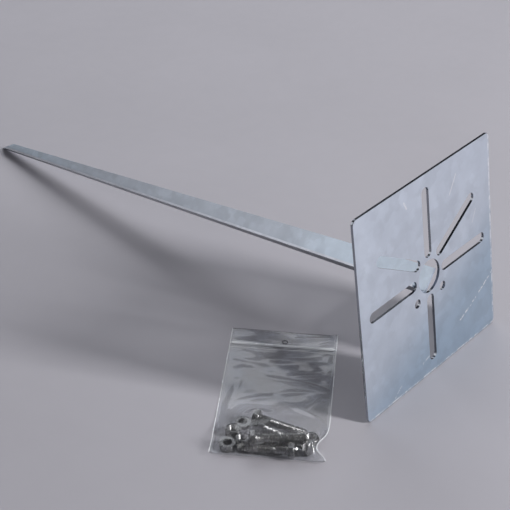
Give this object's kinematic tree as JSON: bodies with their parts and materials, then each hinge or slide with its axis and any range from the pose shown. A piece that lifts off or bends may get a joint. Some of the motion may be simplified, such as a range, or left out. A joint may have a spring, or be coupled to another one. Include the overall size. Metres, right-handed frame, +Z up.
{
  "type": "ground spike bracket",
  "caption": "Square slotted steel mounting plate welded upright to a long folded V-section ground spike, leaning on the floor with a clear zip bag of hexagon bolts, nuts and washers beside it.",
  "frame": {"origin": "middle of the whole row's footprint, on the floor it lies on", "axes": "+X to the right seen from the plate's front, +Y level from the plate towards the spike's point, +Z up; the bracket leans back by 9.18 degrees on the plate's lower edge and the spike's point"},
  "size_m": [0.2586, 0.484, 0.1582],
  "materials": {
    "galvanised": "zinc coated, faint spangle",
    "weld": "as welded",
    "fastener_steel": "bright plated",
    "clear_film": "clear, glossy"
  },
  "bodies": {
    "bracket": {"mounting_plate": "galvanised", "spike": "galvanised", "weld_bead": "weld"},
    "fixing_kit": {"hex_bolt_1": "fastener_steel", "hex_bolt_2": "fastener_steel", "hex_bolt_3": "fastener_steel", "hex_bolt_4": "fastener_steel", "hex_nut_1": "fastener_steel", "hex_nut_2": "fastener_steel", "hex_nut_3": "fastener_steel", "hex_nut_4": "fastener_steel", "flat_washer_1": "fastener_steel", "flat_washer_2": "fastener_steel", "flat_washer_3": "fastener_steel", "flat_washer_4": "fastener_steel", "flat_washer_5": "fastener_steel", "flat_washer_6": "fastener_steel", "flat_washer_7": "fastener_steel", "flat_washer_8": "fastener_steel", "bag_film": "clear_film", "zip_rib": "clear_film", "zip_channel": "clear_film"}
  },
  "joints": [
    {"name": "kit_lift", "type": "slide", "parent": "bracket", "child": "fixing_kit", "axis": [0, 0, 1], "range_m": [0, 0.04]}
  ]
}
